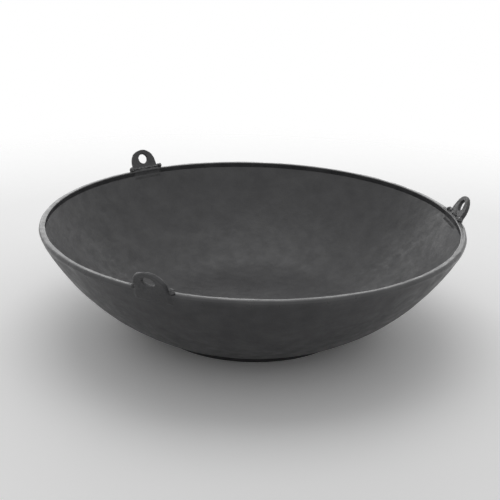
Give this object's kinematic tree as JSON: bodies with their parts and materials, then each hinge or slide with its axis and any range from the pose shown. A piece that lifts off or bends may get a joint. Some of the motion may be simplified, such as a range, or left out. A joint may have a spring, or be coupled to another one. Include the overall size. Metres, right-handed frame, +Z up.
{
  "type": "cast iron wok",
  "caption": "Shallow round cast iron wok with a thickened rim, a flat base plate and pierced lugs on the rim for hanging it over a fire.",
  "frame": {"origin": "centre of the flat face under the base plate, on the axis of the bowl", "axes": "+Z up along the bowl's axis, +X through the right lug, +Y towards the back left lug's side"},
  "size_m": [0.3591, 0.35, 0.1084],
  "materials": {
    "shell_iron": "oiled, seasoned sand casting with a soft sheen",
    "rim_iron": "ground and oiled, smoother than the shell",
    "base_iron": "dull, seasoned black",
    "lug_iron": "rough sand casting with rounded edges, oiled",
    "bead_iron": "rough lumps, brighter where they are rubbed"
  },
  "bodies": {
    "root": {"bowl_shell": "shell_iron", "rim_band": "rim_iron", "base_plate": "base_iron", "lug_right": "lug_iron", "lug_rear_left": "lug_iron", "lug_front_left": "lug_iron", "root_bead_right": "bead_iron", "root_bead_rear_left": "bead_iron", "root_bead_front_left": "bead_iron"}
  },
  "joints": []
}
